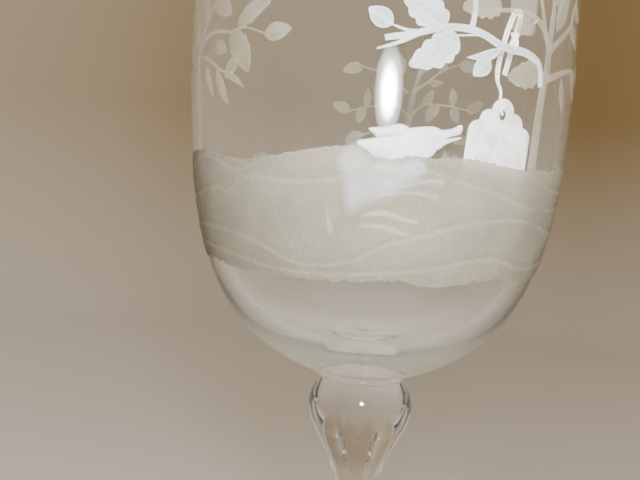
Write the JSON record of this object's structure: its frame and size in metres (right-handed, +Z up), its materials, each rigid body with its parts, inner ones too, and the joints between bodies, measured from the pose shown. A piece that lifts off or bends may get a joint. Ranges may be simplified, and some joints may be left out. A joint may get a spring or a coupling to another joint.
{
  "type": "wine glass",
  "caption": "Stemmed drinking glass with a deep engraved bowl, fluted baluster stem and round foot, with a small strung price tag hanging inside the bowl.",
  "frame": {"origin": "middle of the foot's underside, on the surface that the glass stands on", "axes": "+Z up along the axis of bowl, stem and foot; -Y is the front, the side with the engraved hound; +X is to the right seen from the front"},
  "size_m": [0.084, 0.084, 0.202],
  "materials": {
    "clear_glass": "polished clear glass with satin wheel-engraved decoration",
    "clear_adhesive": "clear glossy film",
    "tag_paper": "matt white paper card",
    "white_thread": "twisted white cotton thread"
  },
  "bodies": {
    "glass": {"bowl": "clear_glass", "merese": "clear_glass", "stem": "clear_glass", "foot": "clear_glass", "adhesive_tab": "clear_adhesive"},
    "tag": {"tag_card": "tag_paper", "tag_string": "white_thread", "string_knot": "white_thread"}
  },
  "joints": [
    {"name": "tag_swing", "type": "hinge", "parent": "glass", "child": "tag", "pos_m": [0.02328, -0.03034, 0.163], "axis": [0.7934, 0.6088, 0], "range_deg": [0, 50]}
  ]
}
